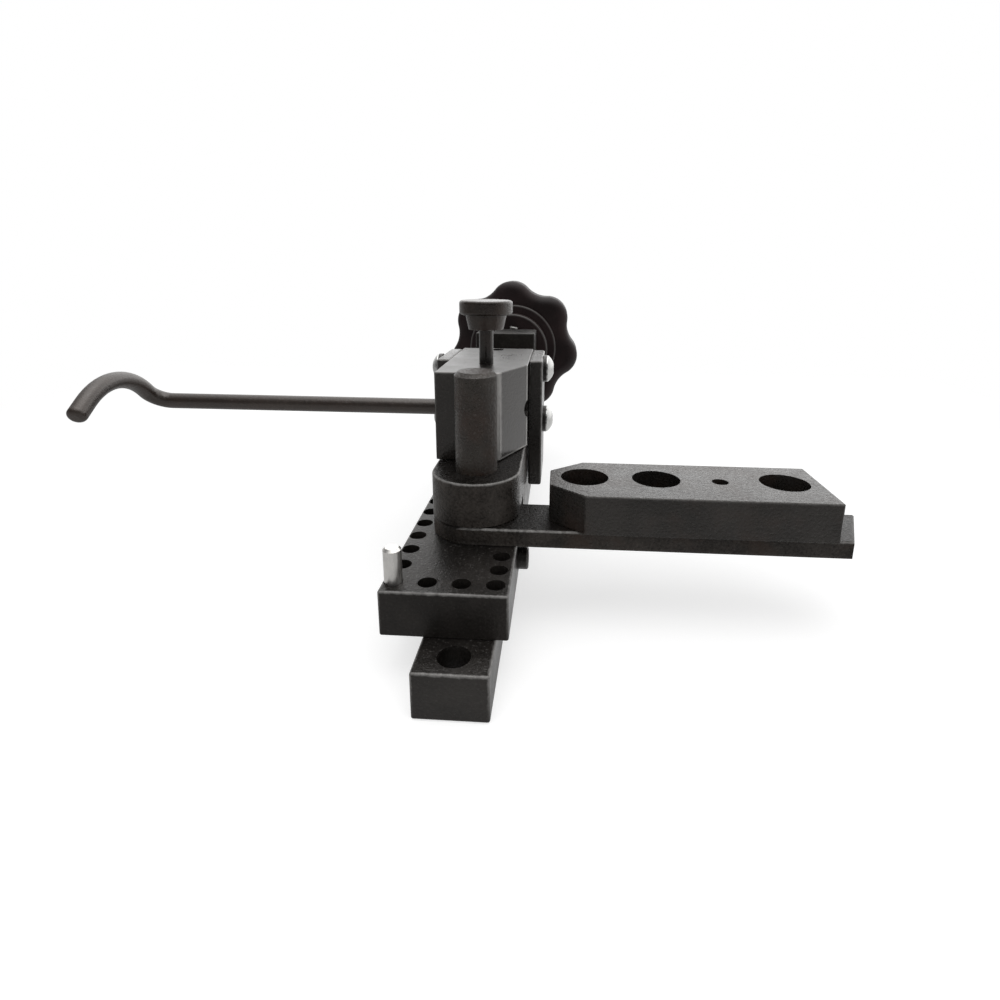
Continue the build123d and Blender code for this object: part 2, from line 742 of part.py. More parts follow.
ring_front = knob_front - knob_ring_height
knob_rear_plane = Plane(origin=(0, knob_rear, feed_height), x_dir=(1, 0, 0), z_dir=(0, -1, 0))
with BuildPart() as star_knob:
    with BuildSketch(knob_rear_plane):
        with BuildLine():
            for step in range(knob_lobe_count):
                angle = knob_first_lobe + 2 * half_pitch * step
                valley_point = polar(knob_valley_radius, angle + half_pitch)
                ThreePointArc(lobe_join(angle, -1), polar(knob_tip_radius, angle), lobe_join(angle, 1))
                ThreePointArc(lobe_join(angle, 1), valley_point, lobe_join(angle + 2 * half_pitch, -1))
        make_face()
    extrude(amount=knob_thickness)
    fillet(star_knob.edges().group_by(Axis.Y)[0], knob_edge)
    fillet(star_knob.edges().group_by(Axis.Y)[-1], knob_edge)
    with BuildSketch(feed_plane):
        with BuildLine():
            hub_rim = hub_front_radius - hub_edge
            ring_rim = knob_ring_radius - hub_edge
            Polyline((knob_front + knob_edge, 0), (collar_rear, 0), (collar_rear, hub_rim))
            TangentArc((collar_rear, hub_rim), (collar_rear + hub_edge, hub_front_radius), tangent=(0, 1))
            Polyline(
                (collar_rear + hub_edge, hub_front_radius),
                (ring_front, hub_front_radius),
                (ring_front, ring_rim),
            )
            TangentArc((ring_front, ring_rim), (ring_front + hub_edge, knob_ring_radius), tangent=(0, 1))
            Polyline(
                (ring_front + hub_edge, knob_ring_radius),
                (knob_front + knob_edge, knob_ring_radius),
                (knob_front + knob_edge, 0),
            )
        make_face()
    revolve(axis=feed_axis)
    with BuildSketch(feed_plane):
        with BuildLine():
            Polyline(
                (collar_rear, 0),
                (collar_rear, spigot_radius + press_gap),
                (feed_end + press_gap, spigot_radius + press_gap),
                (feed_end + press_gap, 0),
                close=True,
            )
        make_face()
    revolve(axis=feed_axis, mode=Mode.SUBTRACT)
star_knob.part.label = "star_knob"
export_step(star_knob.part, "parts/star_knob.step")

# Stop rod: straight through the slide block, then bent forwards and over into a hook
toe_in = radians(hook_toe_in)
rise = radians(hook_rise_angle)
fall = radians(hook_fall_angle)
hook_forward = Vector(sin(toe_in), -cos(toe_in), 0)
rod_start = Vector(rod_inner_end, rod_back, rod_height)
rod_corner = Vector(-rod_reach, rod_back, rod_height)
hook_up = Vector(0, 0, 1)
hook_top = rod_corner + (hook_forward * cos(rise) + hook_up * sin(rise)) * hook_rise_length
hook_end = hook_top + (hook_forward * cos(fall) - hook_up * sin(fall)) * hook_fall_length
with BuildPart() as stop_rod:
    with BuildLine() as rod_path:
        FilletPolyline(rod_start, rod_corner, hook_top, hook_end, radius=(rod_bend_radius, hook_bend_radius))
    with BuildSketch(Plane(origin=rod_start, z_dir=(-1, 0, 0))):
        Circle(rod_diameter / 2)
    sweep(path=rod_path.line)
    rod_ends = stop_rod.faces().filter_by(GeomType.PLANE).sort_by(Axis.X)
    fillet(rod_ends[0].edges(), rod_tip_rounding)
    rod_ends = stop_rod.faces().filter_by(GeomType.PLANE).sort_by(Axis.X)
    chamfer(rod_ends[-1].edges(), edge_break)
stop_rod.part.label = "stop_rod"
export_step(stop_rod.part, "parts/stop_rod.step")

# Thumb screw: the stud presses on the rod, and its mushroom head stands above the block
thumb_foot = slide_top + thumb_neck_height
thumb_waist = thumb_foot + thumb_collar_height
thumb_top = thumb_waist + thumb_head_height
stud_bottom = rod_height + rod_diameter / 2 + thumb_tip_gap
stud_top = thumb_foot + thumb_seat_depth
with BuildPart() as thumb_stud:
    with BuildSketch(Plane.XY.offset(stud_bottom)):
        with Locations((0, rod_back)):
            Circle(thumb_thread / 2)
    extrude(amount=stud_top - stud_bottom)
    chamfer(thumb_stud.edges().filter_by(GeomType.CIRCLE), edge_break)
thumb_stud.part.label = "thumb_stud"
export_step(thumb_stud.part, "parts/thumb_stud.step")

stud_hole_radius = thumb_thread / 2 + running_gap
head_side = thumb_head_diameter / 2
head_rim = head_side - thumb_head_edge
with BuildPart() as thumb_knob:
    with BuildSketch(Plane(origin=(0, rod_back, 0), x_dir=(1, 0, 0), z_dir=(0, -1, 0))):
        with BuildLine():
            Polyline(
                (0, stud_top + running_gap),
                (stud_hole_radius, stud_top + running_gap),
                (stud_hole_radius, thumb_foot),
                (thumb_foot_diameter / 2, thumb_foot),
                (thumb_collar_diameter / 2, thumb_waist),
                (head_rim, thumb_waist),
            )
            TangentArc((head_rim, thumb_waist), (head_side, thumb_waist + thumb_head_edge), tangent=(1, 0))
            Line((head_side, thumb_waist + thumb_head_edge), (head_side, thumb_top - thumb_head_edge))
            TangentArc((head_side, thumb_top - thumb_head_edge), (head_rim, thumb_top), tangent=(0, 1))
            Polyline((head_rim, thumb_top), (0, thumb_top), (0, stud_top + running_gap))
        make_face()
    revolve(axis=Axis((0, rod_back, 0), (0, 0, 1)))
thumb_knob.part.label = "thumb_knob"
export_step(thumb_knob.part, "parts/thumb_knob.step")
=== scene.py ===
from math import cos, pi, radians, sin

import bpy
from mathutils import Matrix, Vector


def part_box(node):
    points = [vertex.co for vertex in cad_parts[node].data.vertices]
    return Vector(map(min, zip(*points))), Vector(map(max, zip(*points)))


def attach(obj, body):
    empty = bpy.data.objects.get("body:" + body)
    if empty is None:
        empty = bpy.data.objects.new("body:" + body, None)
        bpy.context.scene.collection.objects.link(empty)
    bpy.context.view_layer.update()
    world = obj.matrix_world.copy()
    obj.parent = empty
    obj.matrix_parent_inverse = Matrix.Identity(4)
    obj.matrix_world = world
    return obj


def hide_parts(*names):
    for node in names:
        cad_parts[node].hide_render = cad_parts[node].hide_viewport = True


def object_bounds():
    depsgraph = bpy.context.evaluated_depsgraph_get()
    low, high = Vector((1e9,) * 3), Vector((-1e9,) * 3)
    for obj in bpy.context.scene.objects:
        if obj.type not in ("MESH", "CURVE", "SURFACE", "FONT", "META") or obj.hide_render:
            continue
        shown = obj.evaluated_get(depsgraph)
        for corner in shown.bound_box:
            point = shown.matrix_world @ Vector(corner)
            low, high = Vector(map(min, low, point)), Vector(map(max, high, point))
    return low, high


# Universal bender, dressed. Lengths are in metres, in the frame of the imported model:
# origin under the forming post, +X along the arm, +Y away from the camera, +Z up.

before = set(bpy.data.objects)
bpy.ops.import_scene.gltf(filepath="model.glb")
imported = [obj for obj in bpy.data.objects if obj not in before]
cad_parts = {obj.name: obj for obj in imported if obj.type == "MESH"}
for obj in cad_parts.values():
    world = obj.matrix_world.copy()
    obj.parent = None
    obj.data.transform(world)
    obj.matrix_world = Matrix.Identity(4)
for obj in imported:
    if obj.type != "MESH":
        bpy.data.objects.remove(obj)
cad_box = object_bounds()
scene = bpy.context.scene
scene.view_settings.view_transform = "Standard"

# Camera, fitted to the photograph's edges and holes
image_px = 1000
focal_px = 578.08
axis_px = (522.89, 413.46)
camera_place = (0.03116, -0.21041, 0.13115)
camera_pitch = radians(13.998)
camera_yaw = radians(3.631)
camera_roll = radians(0.447)
sensor_mm = 36.0
near_clip = 0.01

# Feed screw: a plain journal up to the shoulder, then a thread with flat crests and roots
feed_height = 0.0805
feed_radius = 0.007
journal_radius = 0.006
journal_chamfer = 0.0005
shoulder_place = 0.0823
thread_pitch = 0.003
thread_depth = 0.0013
flank_slope = 3.2
crest_cut = 0.3
steps_per_turn = 12
screw_sides = 40

# Star knob: its plastic, and its two moulded edges, by radius and depth behind the knob's front, along
# which a grey highlight is painted
knob_colours = ((0.0078, 0.0037, 0.0037), (0.0158, 0.0074, 0.0074))
knob_roughness = (0.5, 0.62)
knob_ior = 1.31
knob_rings = ((0.02265, 0.00035), (0.02795, 0.00935))
ring_width = 0.0011
ring_highlight_grey = (0.06, 0.056, 0.054)
ring_highlight_share = 0.8
ring_polish = 0.2

# Slide block: the place of its taper's edge across the front face, and the taper's length
slide_taper = (0.0078, 0.0216)

# Wear: how wide edges are rubbed, the share of that width that is fully rubbed, and how far its border
# wanders. The ridge is the taper's front edge, and ridge_thin is how much narrower its other edges are.
edge_width = 0.0009
edge_core = 0.3
edge_ragged = 0.00025
ridge_width = 0.0024
ridge_core = 0.1
ridge_wear = 0.95
ridge_thin = 2.0

# Edges of round pieces: the rounding that finds them, and the cosine of its turn on faces and on edges
bevel_radius = 0.0006
bevel_samples = 6
bevel_turn = (0.995, 0.86)

# Blackened steel: what shows through and on the black, the black that upward faces are darkened towards as
# painted shade, and the warm tint of its gloss
bare_steel = (0.335, 0.327, 0.318)
bare_metallic = 0.4
rust_brown = (0.022, 0.012, 0.008)
fleck_grey = (0.12, 0.115, 0.11)
fleck_side = 0.2
painted_shade_black = (0.0, 0.0, 0.0)
gloss_tint = (1.0, 0.96, 0.925)
speckle_share = 0.5
smudge_swing = 0.05
line_swing = 0.06
line_height = 0.2
steel_bump = 0.0003

# Bright steel: the share of its colour that tarnish leaves, and what scratches do to roughness and surface
tarnish_share = 0.85
scratch_swing = (-0.06, 0.1)
scratch_bump = (0.2, 0.00005)

# Bronze and plastic: dry and oily bronze, and the strength and depth of the bump on both
bronze_colours = ((0.42, 0.26, 0.11), (0.25, 0.15, 0.06))
bronze_roughness = (0.3, 0.45)
bronze_bump = (0.2, 0.0001)
knob_bump = (0.12, 0.0001)

# Noise in the finishes, in features per metre
mottle_scale = 90.0
speckle_scale = 900.0
patch_scale = 420.0
stain_scale = 38.0
rust_scale = 45.0
fleck_scale = 1300.0
tarnish_scale = 260.0
satin_scale = 2200.0
rub_scale = 70.0
pore_scale = 3000.0
oil_scale = 150.0

# Tool lines: features per metre across them and along them, for lines along each axis
across = 4200.0
along = 60.0
along_x = (along, across, across)
along_y = (across, along, across)
along_z = (across, across, along)

# Parts of a noise's range over which an effect goes from none to full
wide_band = (0.3, 0.7)
middle_band = (0.35, 0.65)
tone_band = (0.36, 0.64)
patch_band = (0.4, 0.62)
rust_band = (0.48, 0.66)
fleck_band = (0.6, 0.72)
tarnish_band = (0.35, 0.75)

# Parts of a normal's range: faces that look up, stand upright, or look to the right
upward = (0.3, 0.9)
upright = (0.5, 0.0)
rightward = (0.4, 0.9)

# Light: gloss mirrors a surround that is bright behind and overhead and dim in front and low on the left.
# Everything else is lit by a fill, mostly from the front, and by the key light.
back_light = 2.0
front_light = 0.12
left_share = 0.5
top_light = 1.3
fill_front = 1.15
fill_back = 0.35
key_place = (0.1, -0.05, 1.0)
key_aim = (0.03, 0.03, 0.05)
key_size = 0.9
key_power = 3.0

# Directions of the surround: how far its back is turned to the right, and where each part begins and ends
back_turn = 0.3
back_band = (-0.3, 0.75)
left_band = (-0.6, 0.2)
top_band = (0.7, 0.95)
fill_band = (-0.6, 0.6)

# Floor: just under the object, fading to white away from it. Gloss mirrors it only behind and to the right.
floor_reach = 3.0
floor_gap = 0.0002
floor_colour = 0.55
floor_glow = 0.6
fade_band = (0.02, 0.35)
mirror_depth = (-0.1, 0.0)
mirror_side = (-0.12, 0.03)


def camera():
    """The camera at the photograph's place, with the photograph's off-centre axis."""
    data = bpy.data.cameras.new("camera")
    data.sensor_width = sensor_mm
    data.lens = focal_px / image_px * sensor_mm
    data.shift_x = (image_px / 2 - axis_px[0]) / image_px
    data.shift_y = (axis_px[1] - image_px / 2) / image_px
    data.clip_start = near_clip
    made = bpy.data.objects.new("camera", data)
    turn = Matrix.Rotation(camera_yaw, 4, "Z") @ Matrix.Rotation(pi / 2 - camera_pitch, 4, "X")
    made.matrix_world = Matrix.Translation(camera_place) @ turn @ Matrix.Rotation(camera_roll, 4, "Z")
    scene.collection.objects.link(made)
    scene.camera = made


def solid(colour):
    """A colour as a colour socket takes it, with its alpha."""
    return (*colour, 1.0)


class Nodes:
    """A material's or the world's node tree, with short calls to add and join nodes."""

    def __init__(self, tree):
        self.tree = tree
        tree.nodes.clear()

    def add(self, kind, settings=None, **inputs):
        """Adds a node. Inputs are sockets to join or constants, by name, with _ for a space."""
        made = self.tree.nodes.new(kind)
        for key, value in (settings or {}).items():
            setattr(made, key, value)
        for key, value in inputs.items():
            self.put(made, key.replace("_", " "), value)
        return made

    def put(self, node, key, value):
        """Sets one input of a node, given by name or number, to a constant or another socket."""
        socket = node.inputs[int(key)] if key.isdigit() else node.inputs[key]
        if isinstance(value, bpy.types.NodeSocket):
            self.tree.links.new(value, socket)
        else:
            socket.default_value = value

    def math(self, operation, first, second=0.0):
        """A math node's result."""
        made = self.add("ShaderNodeMath", {"operation": operation})
        self.put(made, "0", first)
        self.put(made, "1", second)
        return made.outputs[0]

    def noise(self, place, scale, detail=3.0, roughness=0.5):
        """Noise between 0 and 1 at that many features per metre."""
        made = self.add("ShaderNodeTexNoise", Vector=place, Scale=scale, Detail=detail, Roughness=roughness)
        return made.outputs["Fac"]

    def lines(self, place, scale, detail, roughness):
        """Noise drawn out to fine lines, with a scale for each axis."""
        stretched = self.add("ShaderNodeMapping", Vector=place, Scale=scale).outputs[0]
        return self.noise(stretched, 1.0, detail, roughness)

    def span(self, value, low, high, to_low=0.0, to_high=1.0):
        """Maps value from one range to another, clamped."""
        made = self.add(
            "ShaderNodeMapRange", Value=value, From_Min=low, From_Max=high, To_Min=to_low, To_Max=to_high,
        )
        return made.outputs[0]

    def mix(self, share, first, second):
        """A colour between two colours."""
        made = self.add("ShaderNodeMix", {"data_type": "RGBA"})
        self.put(made, "0", share)
        self.put(made, "6", first)
        self.put(made, "7", second)
        return made.outputs[2]

    def axes(self, vector):
        """A vector's three coordinates."""
        spread = self.add("ShaderNodeSeparateXYZ", Vector=vector)
        return [spread.outputs[axis] for axis in "XYZ"]

    def bump(self, height, strength, distance):
        """A bumped normal."""
        return self.add("ShaderNodeBump", Height=height, Strength=strength, Distance=distance).outputs[0]

    def length(self, first, second):
        """Length of a vector in a plane."""
        first_square = self.math("MULTIPLY", first, first)
        second_square = self.math("MULTIPLY", second, second)
        return self.math("SQRT", self.math("ADD", first_square, second_square))

    def gap(self, value, low, high):
        """Distance of a coordinate from the nearer of two faces."""
        return self.math("MINIMUM", self.math("SUBTRACT", value, low), self.math("SUBTRACT", high, value))

    def edge(self):
        """About 0 on flat faces and 1 on sharp edges, from how far rounding would turn the normal."""
        rounded = self.add("ShaderNodeBevel", {"samples": bevel_samples}, Radius=bevel_radius).outputs[0]
        flat = self.add("ShaderNodeNewGeometry").outputs["Normal"]
        dot = self.add("ShaderNodeVectorMath", {"operation": "DOT_PRODUCT"})
        self.put(dot, "0", rounded)
        self.put(dot, "1", flat)
        return self.span(dot.outputs["Value"], *bevel_turn)


def material(name):
    """A new material, its nodes, its object coordinates and its shader."""
    made = bpy.data.materials.new(name)
    made.use_nodes = True
    nodes = Nodes(made.node_tree)
    place = nodes.add("ShaderNodeTexCoord").outputs["Object"]
    shader = nodes.add("ShaderNodeBsdfPrincipled")
    nodes.add("ShaderNodeOutputMaterial", Surface=shader.outputs[0])
    return made, nodes, place, shader


def rubbed_ridge(nodes, spot, low, high, taper, wander):
    """How far the edges of a tapered right front corner are rubbed.

    slope is the distance from the corner's slanted face.
    """
    x, y, z = spot
    edge_x, length = taper
    side = Vector((length, edge_x - high.x)).normalized()
    level = side.x * edge_x + side.y * low.y
    out = nodes.math("ADD", nodes.math("MULTIPLY", x, side.x), nodes.math("MULTIPLY", y, side.y))
    slope = nodes.math("SUBTRACT", level, out)
    front = nodes.math("MAXIMUM", nodes.math("SUBTRACT", y, low.y), slope)
    flank = nodes.math("MAXIMUM", nodes.math("SUBTRACT", high.x, x), slope)
    foot = nodes.math("MAXIMUM", nodes.math("SUBTRACT", z, low.z), slope)
    thin = nodes.math("MINIMUM", nodes.math("DIVIDE", flank, -side.y), foot)
    rim = nodes.math("MINIMUM", front, nodes.math("MULTIPLY", thin, ridge_thin))
    ridge = nodes.span(nodes.math("ADD", rim, wander), ridge_width, ridge_core * ridge_width)
    return nodes.math("MULTIPLY", ridge, ridge_wear)


def outer_edges(nodes, place, node, wear, round_front, taper, patches):
    """How far a milled block's outer edges are rubbed, and 0 elsewhere, so rims of holes stay black.

    A point of the surface is as far from an edge as its second smallest distance to the block's faces.
    Edges are rubbed more towards the block's top, and the fade of the bare edges towards the foot is
    painted shade on the lower edges.
    """
    low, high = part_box(node)
    x, y, z = nodes.axes(place)
    gaps = [nodes.gap(z, low.z, high.z)]
    if round_front:
        ahead = nodes.math("MINIMUM", y, 0.0)
        gaps.append(nodes.math("SUBTRACT", high.x, nodes.length(x, ahead)))
        gaps.append(nodes.math("SUBTRACT", high.y, y))
    else:
        gaps.append(nodes.gap(x, low.x, high.x))
        gaps.append(nodes.gap(y, low.y, high.y))
    nearest = nodes.math("MINIMUM", gaps[0], gaps[1])
    second = nodes.math("MAXIMUM", gaps[0], gaps[1])
    second = nodes.math("MINIMUM", second, nodes.math("MAXIMUM", nearest, gaps[2]))
    wander = nodes.span(patches, *wide_band, -edge_ragged, edge_ragged)
    worn = nodes.span(nodes.math("ADD", second, wander), edge_width, edge_core * edge_width)
    # Painted shade: the bare edges fade out towards the block's foot, where the lower edges sit in shadow.
    upper = nodes.span(z, low.z, high.z)
    rubbed = nodes.math("MULTIPLY", nodes.math("MULTIPLY", worn, upper), wear)
    if taper:
        rubbed = nodes.math("MAXIMUM", rubbed, rubbed_ridge(nodes, (x, y, z), low, high, taper, wander))
    return rubbed


def black_colour(nodes, place, up, mottle, speckle, palette, stain, rust, fleck, top):
    """The colour of blackened steel: mottled, speckled and stained, with brown spots and pale flecks, and
    upward faces darkened towards black as painted shade when top is below 1.
    """
    dark, pale = palette
    rough_tone = nodes.math("MULTIPLY", mottle, 1.0 - speckle_share)
    tone = nodes.math("ADD", rough_tone, nodes.math("MULTIPLY", speckle, speckle_share))
    stains = nodes.noise(place, stain_scale, detail=4.0, roughness=0.55)
    shift = nodes.span(stains, *middle_band, -stain, stain)
    colour = nodes.mix(nodes.math("ADD", nodes.span(tone, *tone_band), shift), solid(dark), solid(pale))
    if rust:
        spots = nodes.noise(place, rust_scale, detail=5.0, roughness=0.6)
        colour = nodes.mix(nodes.span(spots, *rust_band, 0.0, rust), colour, solid(rust_brown))
    flecks = nodes.span(nodes.noise(place, fleck_scale, detail=2.0), *fleck_band)
    share = nodes.math("MULTIPLY", flecks, nodes.span(up, *upward, fleck_side, 1.0))
    colour = nodes.mix(nodes.math("MULTIPLY", share, fleck), colour, solid(fleck_grey))
    # Painted shade: upward faces keep only the share top of their colour and are darkened towards black.
    if top < 1.0:
        colour = nodes.mix(nodes.span(up, *upward, 0.0, 1.0 - top), colour, solid(painted_shade_black))
    return colour


def black_roughness(nodes, right, up, mottle, speckle, grain, roughness, grit, polish, dull_right):
    """The roughness of blackened steel: smudged, lined and gritty, and changed by the way a face looks."""
    dull = nodes.span(mottle, *wide_band, roughness - smudge_swing, roughness + smudge_swing)
    dull = nodes.math("ADD", dull, nodes.math("MULTIPLY", grain, line_swing))
    if grit:
        dull = nodes.math("ADD", dull, nodes.span(speckle, *middle_band, -grit, grit))
    if polish:
        dull = nodes.math("SUBTRACT", dull, nodes.span(up, *upright, 0.0, polish))
    if dull_right:
        dull = nodes.math("ADD", dull, nodes.span(right, *rightward, 0.0, dull_right))
    return dull


def black_steel(node, palette, roughness, wear, lines, milled=True, round_front=False, taper=None, rust=0.0,
                relief=0.6, ior=1.47, polish=0.0, stain=0.35, dull_right=0.0, fleck=0.5, top=1.0, grit=0.0):
    """Blackened steel: speckled and mottled black, fine tool lines, and edges rubbed through to steel.

    palette is the black's dark and pale end, wear how bare the edges are, and lines the tool lines' way.
    A milled block's edges follow its box. Its front may be round about the post, or tapered at one corner.
    stain, rust and fleck say how strongly these show, and top what share of the colour upward faces keep,
    the rest being painted shade.
    relief is the bump's strength. polish makes upright faces smoother, dull_right makes faces to the right
    rougher, and grit is how far the speckle varies the roughness.
    """
    made, nodes, place, shader = material(f"{node}_steel")
    mottle = nodes.noise(place, mottle_scale, detail=5.0)
    speckle = nodes.noise(place, speckle_scale, detail=3.0, roughness=0.65)
    grain = nodes.lines(place, lines, detail=4.0, roughness=0.6)
    patches = nodes.noise(place, patch_scale, detail=4.0, roughness=0.65)
    if milled:
        rubbed = outer_edges(nodes, place, node, wear, round_front, taper, patches)
    else:
        edges = nodes.math("MULTIPLY", nodes.edge(), nodes.span(patches, *patch_band))
        rubbed = nodes.math("MULTIPLY", edges, wear)
    right, _, up = nodes.axes(nodes.add("ShaderNodeTexCoord").outputs["Normal"])
    colour = black_colour(nodes, place, up, mottle, speckle, palette, stain, rust, fleck, top)
    dull = black_roughness(nodes, right, up, mottle, speckle, grain, roughness, grit, polish, dull_right)
    height = nodes.math("ADD", nodes.math("MULTIPLY", grain, line_height), speckle)
    nodes.put(shader, "Base Color", nodes.mix(rubbed, colour, solid(bare_steel)))
    nodes.put(shader, "Metallic", nodes.math("MULTIPLY", rubbed, bare_metallic))
    nodes.put(shader, "Roughness", dull)
    nodes.put(shader, "IOR", ior)
    nodes.put(shader, "Specular Tint", solid(gloss_tint))
    nodes.put(shader, "Normal", nodes.bump(height, relief, steel_bump))
    return made


def bright_steel(name, colour, roughness, lines):
    """Bare or plated bright steel with fine scratches and a little tarnish."""
    made, nodes, place, shader = material(name)
    tarnish = nodes.noise(place, tarnish_scale, detail=4.0)
    scratch = nodes.lines(place, lines, detail=3.0, roughness=0.7)
    dull = tuple(tarnish_share * part for part in colour)
    smoothest, roughest = (roughness + swing for swing in scratch_swing)
    share = nodes.span(tarnish, *tarnish_band)
    nodes.put(shader, "Base Color", nodes.mix(share, solid(colour), solid(dull)))
    nodes.put(shader, "Metallic", 1.0)
    nodes.put(shader, "Roughness", nodes.span(scratch, *wide_band, smoothest, roughest))
    nodes.put(shader, "Normal", nodes.bump(scratch, *scratch_bump))
    return made


def black_plastic(name):
    """Moulded black plastic with a fine satin texture, and a grey painted highlight along the knob's two
    moulded edges.
    """
    made, nodes, place, shader = material(name)
    satin = nodes.noise(place, satin_scale, detail=2.0)
    rub = nodes.noise(place, rub_scale, detail=4.0)
    dark, pale = knob_colours
    colour = nodes.mix(nodes.span(rub, *tarnish_band), solid(dark), solid(pale))
    x, y, z = nodes.axes(place)
    behind = nodes.math("SUBTRACT", y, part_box("star_knob")[0].y)
    reach = nodes.length(x, nodes.math("SUBTRACT", z, feed_height))
    off_rings = []
    for radius, depth in knob_rings:
        outward = nodes.math("SUBTRACT", reach, radius)
        off_rings.append(nodes.length(outward, nodes.math("SUBTRACT", behind, depth)))
    # Painted highlight: the two ring edges turn grey and a little smoother, standing in for the light that
    # the moulded edges catch; the mask called rubbed below is this highlight.
    edges = nodes.span(nodes.math("MINIMUM", *off_rings), ring_width, edge_core * ring_width)
    rubbed = nodes.math("MULTIPLY", edges, ring_highlight_share)
    smooth = nodes.math("MULTIPLY", edges, ring_polish)
    dull = nodes.span(rub, *wide_band, *knob_roughness)
    nodes.put(shader, "Base Color", nodes.mix(rubbed, colour, solid(ring_highlight_grey)))
    nodes.put(shader, "Roughness", nodes.math("SUBTRACT", dull, smooth))
    nodes.put(shader, "IOR", knob_ior)
    nodes.put(shader, "Normal", nodes.bump(satin, *knob_bump))
    return made


def bronze(name):
    """Oily sintered bronze with open pores."""
    made, nodes, place, shader = material(name)
    pores = nodes.noise(place, pore_scale, detail=2.0)
    oil = nodes.noise(place, oil_scale, detail=4.0)
    dry, oily = bronze_colours
    nodes.put(shader, "Base Color", nodes.mix(nodes.span(oil, *wide_band), solid(dry), solid(oily)))
    nodes.put(shader, "Metallic", 1.0)
    nodes.put(shader, "Roughness", nodes.span(oil, *wide_band, *bronze_roughness))
    nodes.put(shader, "Normal", nodes.bump(pores, *bronze_bump))
    return made


def block_finishes():
    """The finishes of the milled blocks, plates and arm, by node."""
    black = ((0.0064, 0.0056, 0.005), (0.014, 0.0123, 0.011))
    # The second palette is a lighter copy of the black, a painted light that stands in for the light on the
    # bed's and the arm's fronts. Their top setting darkens their upward faces again with painted shade,
    # beside their bump, pale flecks and grit.
    painted_light_black = ((0.0118, 0.0102, 0.009), (0.041, 0.0355, 0.0315))
    textured_and_shade_painted_top = {"relief": 1.0, "fleck": 0.7, "top": 0.28, "grit": 0.1}
    return {
        "mounting_bar": black_steel("mounting_bar", black, 0.29, 0.5, along_y, ior=1.43, stain=0.6),
        "base_plate": black_steel("base_plate", black, 0.29, 0.45, along_y, ior=1.33, stain=0.6),
        "bed_block": black_steel(
            "bed_block", painted_light_black, 0.29, 0.5, along_y, round_front=True, ior=1.22, **textured_and_shade_painted_top,
        ),
        "nut_plate": black_steel("nut_plate", black, 0.29, 0.06, along_y, ior=1.27),
        "slide_block": black_steel(
            "slide_block", black, 0.28, 0.15, along_y, taper=slide_taper, relief=0.35, polish=0.16,
        ),
        "left_cheek": black_steel("left_cheek", black, 0.26, 0.4, along_y),
        "right_cheek": black_steel("right_cheek", black, 0.26, 0.4, along_y),
        "swing_arm": black_steel("swing_arm", painted_light_black, 0.32, 0.5, along_x, rust=0.8, ior=1.26, **textured_and_shade_painted_top),
        "arm_block": black_steel(
            "arm_block", black, 0.29, 0.12, along_x, rust=0.5, relief=1.0, stain=0.8, grit=0.1,
        ),
    }


def round_finishes():
    """The finishes of the turned pieces, the rod, the knobs and the screws, by node."""
    turned = ((0.006, 0.0048, 0.0039), (0.0205, 0.0168, 0.0138))
    screw = ((0.004, 0.0037, 0.0035), (0.009, 0.0083, 0.0078))
    rod = ((0.0135, 0.0092, 0.0072), (0.027, 0.0188, 0.015))
    head = ((0.0078, 0.0055, 0.0044), (0.0175, 0.0126, 0.0102))
    finishes = {
        "stop_rod": black_steel(
            "stop_rod", rod, 0.32, 0.3, along_x, milled=False, rust=0.6, relief=0.4, ior=1.6,
        ),
        "thumb_knob": black_steel("thumb_knob", head, 0.26, 0.6, along_z, milled=False, rust=0.9),
        "thumb_stud": black_steel(
            "thumb_stud", screw, 0.14, 0.5, along_z, milled=False, rust=0.5, relief=0.2,
        ),
        "forming_post": black_steel(
            "forming_post", turned, 0.42, 0.5, along_z, milled=False, rust=0.9, relief=1.0, polish=0.14,
            stain=0.6, dull_right=0.4, fleck=1.0, grit=0.14,
        ),
        "stop_pin": bright_steel("bright_pin", (0.715, 0.7, 0.675), 0.3, along_z),
        "cheek_screws": bright_steel("zinc_plate", (0.46, 0.46, 0.45), 0.26, along_x),
        "collar_screw": bright_steel("dull_zinc", (0.2, 0.196, 0.19), 0.36, along_x),
        "star_knob": black_plastic("black_plastic"),
        "arm_bush": bronze("bronze"),
    }
    for name in ("feed_screw", "knob_collar"):
        finishes[name] = black_steel(name, turned, 0.28, 0.5, along_z, milled=False, rust=0.4)
    for name in (
        "bed_screws", "bar_screw", "nut_plate_screws", "post_screw", "arm_block_screws", "cheek_washers",
        "feed_retainer",
    ):
        finishes[name] = black_steel(name, screw, 0.32, 0.5, along_z, milled=False)
    return finishes


def paint_nodes():
    """Gives every CAD node its finish, and returns the feed screw's."""
    finishes = block_finishes() | round_finishes()
    for name, finish in finishes.items():
        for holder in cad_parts[name].material_slots:
            holder.material = finish
    return finishes["feed_screw"]


def thread_radius(y, turn):
    """The feed screw's radius at a place along its thread, at a share of a turn about its axis."""
    phase = (y / thread_pitch - turn) % 1.0
    flank = min(1.0, max(0.0, abs(phase - 0.5) * flank_slope - crest_cut))
    return feed_radius - thread_depth * flank


